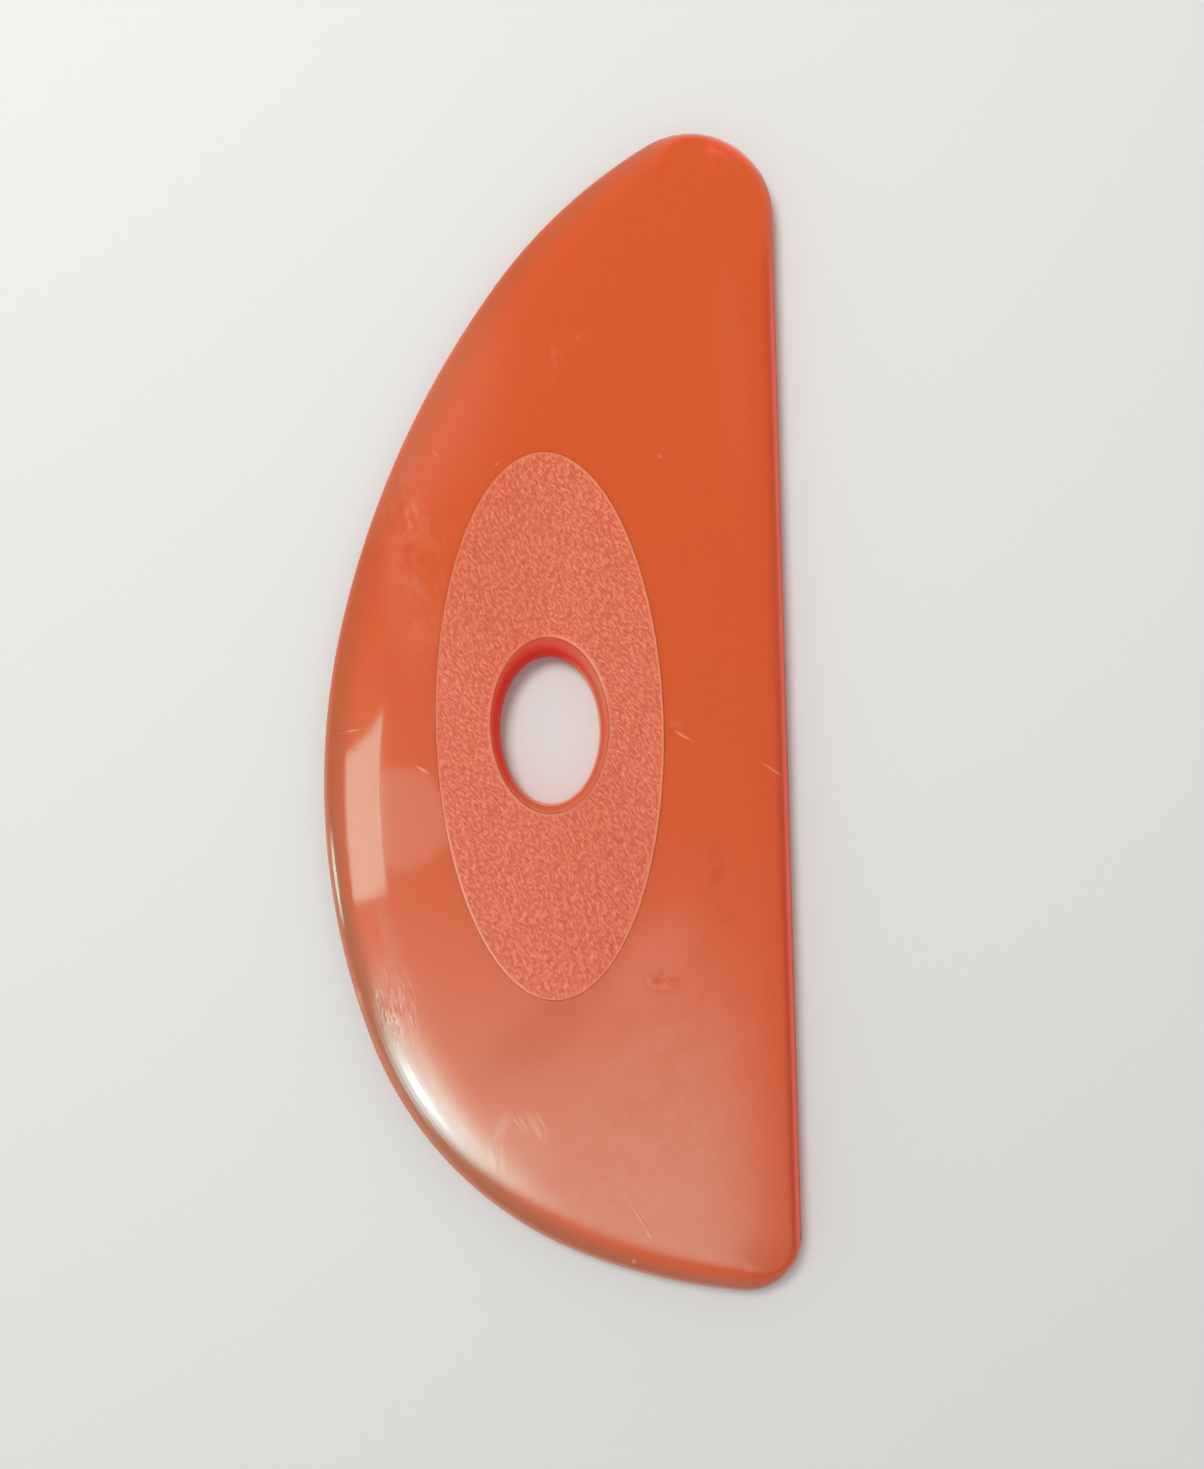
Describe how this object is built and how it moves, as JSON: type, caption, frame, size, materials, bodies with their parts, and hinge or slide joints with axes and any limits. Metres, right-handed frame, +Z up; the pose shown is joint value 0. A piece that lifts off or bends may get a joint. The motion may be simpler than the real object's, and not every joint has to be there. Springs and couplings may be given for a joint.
{
  "type": "pottery rib",
  "caption": "Flexible half-moon polymer rib for shaping clay, with a straight edge, a long bevelled curve, an oval finger hole and a textured oval grip pad on each face.",
  "frame": {"origin": "under the middle of the rib's box, on the surface that it lies on", "axes": "+Y along the straight edge towards the nose, +X from the belly towards the straight edge, +Z up through the thickness, out of the front face"},
  "size_m": [0.0664, 0.1648, 0.005],
  "materials": {
    "blade_polymer": "glossy, slightly translucent orange-red polymer",
    "grip_texture": "matt, fine pebble grain"
  },
  "bodies": {
    "root": {"blade": "blade_polymer", "front_grip_pad": "grip_texture", "back_grip_pad": "grip_texture"}
  },
  "joints": []
}
